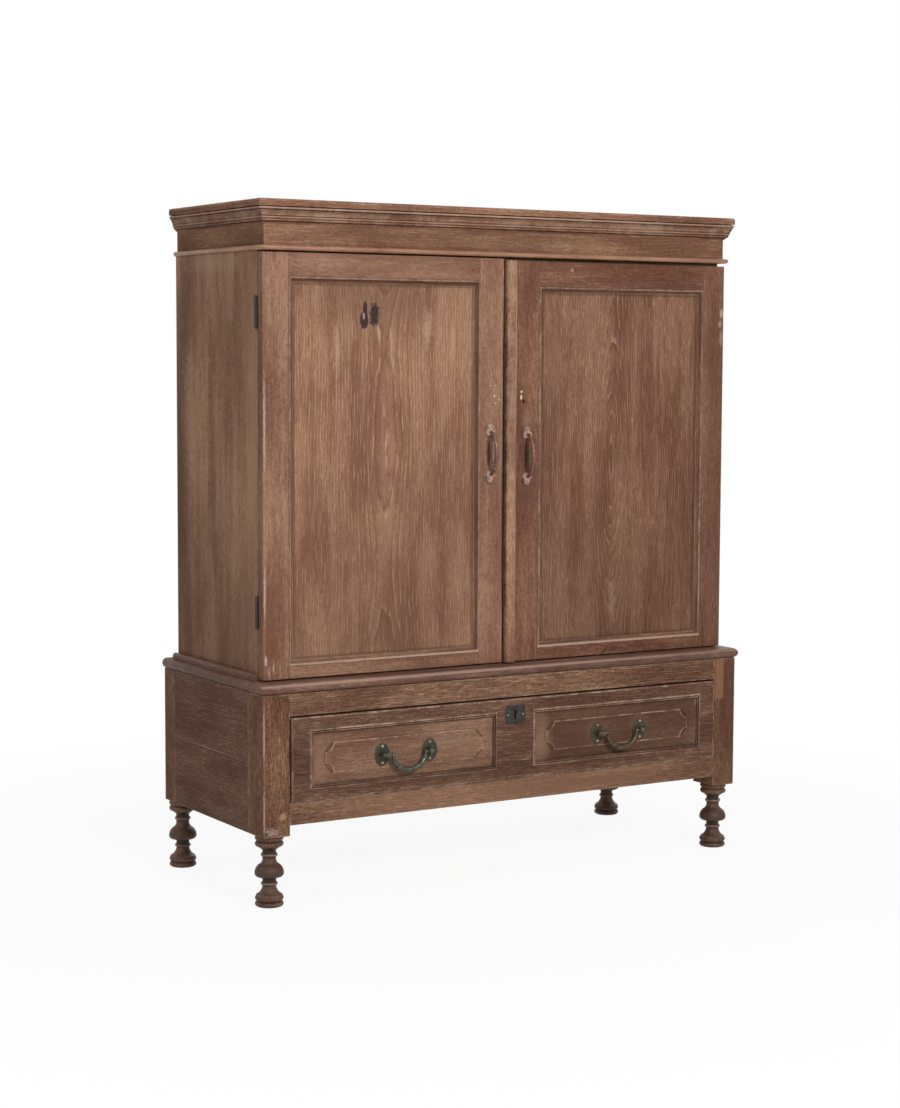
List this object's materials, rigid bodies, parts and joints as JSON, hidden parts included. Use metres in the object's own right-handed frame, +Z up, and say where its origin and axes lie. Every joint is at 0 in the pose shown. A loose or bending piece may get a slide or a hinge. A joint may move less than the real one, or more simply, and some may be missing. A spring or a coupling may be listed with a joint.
{
  "type": "wooden icebox cabinet",
  "caption": "Panelled wooden cabinet with two doors above a drawer stand on turned feet; zinc-lined inside, with bail handles, bowed door pulls and a moulded cornice.",
  "frame": {"origin": "on the floor, below the middle of the whole width and depth", "axes": "+Z up, +X to the right as seen from the front, -Y towards the front with the doors and the drawer"},
  "size_m": [1.11, 0.4742, 1.315],
  "materials": {
    "teak_frame": "dry, matte, worn pale at the edges",
    "teak_panel": "dry, matte, bold figure",
    "teak_side": "dry, matte, darkened",
    "teak_feet": "dark, satin, worn",
    "teak_strip": "paler, matte",
    "raw_wood": "unfinished",
    "cork": "pressed cork",
    "zinc": "dull grey",
    "dark_brass": "aged, dark green-brown",
    "brown_bronze": "brown, worn smooth",
    "dark_iron": "dark, dull"
  },
  "bodies": {
    "cabinet": {"foot_front_left": "teak_feet", "foot_front_right": "teak_feet", "foot_rear_left": "teak_feet", "foot_rear_right": "teak_feet", "post_front_left": "teak_frame", "post_front_right": "teak_frame", "post_rear_left": "teak_frame", "post_rear_right": "teak_frame", "base_top_rail": "teak_frame", "base_bottom_rail": "teak_frame", "base_left_side": "teak_side", "base_right_side": "teak_side", "base_back": "teak_side", "drawer_runners": "raw_wood", "deck_board": "teak_frame", "deck_nosing": "teak_frame", "case_keepers": "teak_side", "case_left_side": "teak_side", "case_right_side": "teak_side", "case_floor": "raw_wood", "case_ceiling": "raw_wood", "case_back_planks": "teak_side", "cornice_box": "teak_frame", "frieze_bead": "teak_frame", "crown_moulding": "teak_frame", "insulation": "cork", "zinc_liner": "zinc", "mouth_frame": "teak_frame", "shelf_cleats": "raw_wood", "slatted_shelf": "raw_wood", "ice_tray": "zinc", "case_hinges": "dark_iron"},
    "left_door": {"left_door_stiles": "teak_frame", "left_door_rails": "teak_frame", "left_door_panel": "teak_panel", "left_door_moulding": "teak_frame", "left_door_pull": "brown_bronze", "left_door_lining": "zinc", "left_door_hinges": "dark_iron"},
    "right_door": {"right_door_stiles": "teak_frame", "right_door_rails": "teak_frame", "right_door_panel": "teak_panel", "right_door_moulding": "teak_frame", "right_door_pull": "brown_bronze", "right_door_lining": "zinc", "right_door_hinges": "dark_iron", "right_door_astragal": "teak_strip"},
    "drawer": {"drawer_front": "teak_panel", "drawer_sides": "raw_wood", "drawer_back": "raw_wood", "drawer_bottom": "raw_wood", "drawer_panels": "teak_panel", "drawer_panel_beads": "teak_panel", "bail_rosettes": "dark_brass", "escutcheon": "dark_brass", "lock_case": "dark_iron"},
    "left_bail": {"left_bail": "dark_brass"},
    "right_bail": {"right_bail": "dark_brass"},
    "lock_bolt": {"lock_bolt": "dark_iron"}
  },
  "joints": [
    {"name": "left_door_swing", "type": "hinge", "parent": "cabinet", "child": "left_door", "pos_m": [-0.5363, -0.15675, 0.8295], "axis": [0, 0, -1], "range_deg": [0, 115]},
    {"name": "right_door_swing", "type": "hinge", "parent": "cabinet", "child": "right_door", "pos_m": [0.5363, -0.15675, 0.8295], "axis": [0, 0, 1], "range_deg": [0, 115]},
    {"name": "drawer_pull_out", "type": "slide", "parent": "cabinet", "child": "drawer", "axis": [0, -1, 0], "range_m": [0, 0.3]},
    {"name": "left_bail_lift", "type": "hinge", "parent": "drawer", "child": "left_bail", "pos_m": [-0.249, -0.2311, 0.27365], "axis": [-1, 0, 0], "range_deg": [-12, 120]},
    {"name": "right_bail_lift", "type": "hinge", "parent": "drawer", "child": "right_bail", "pos_m": [0.249, -0.2311, 0.27365], "axis": [-1, 0, 0], "range_deg": [-12, 120]},
    {"name": "lock_bolt_throw", "type": "slide", "parent": "drawer", "child": "lock_bolt", "axis": [0, 0, 1], "range_m": [0, 0.008]}
  ]
}
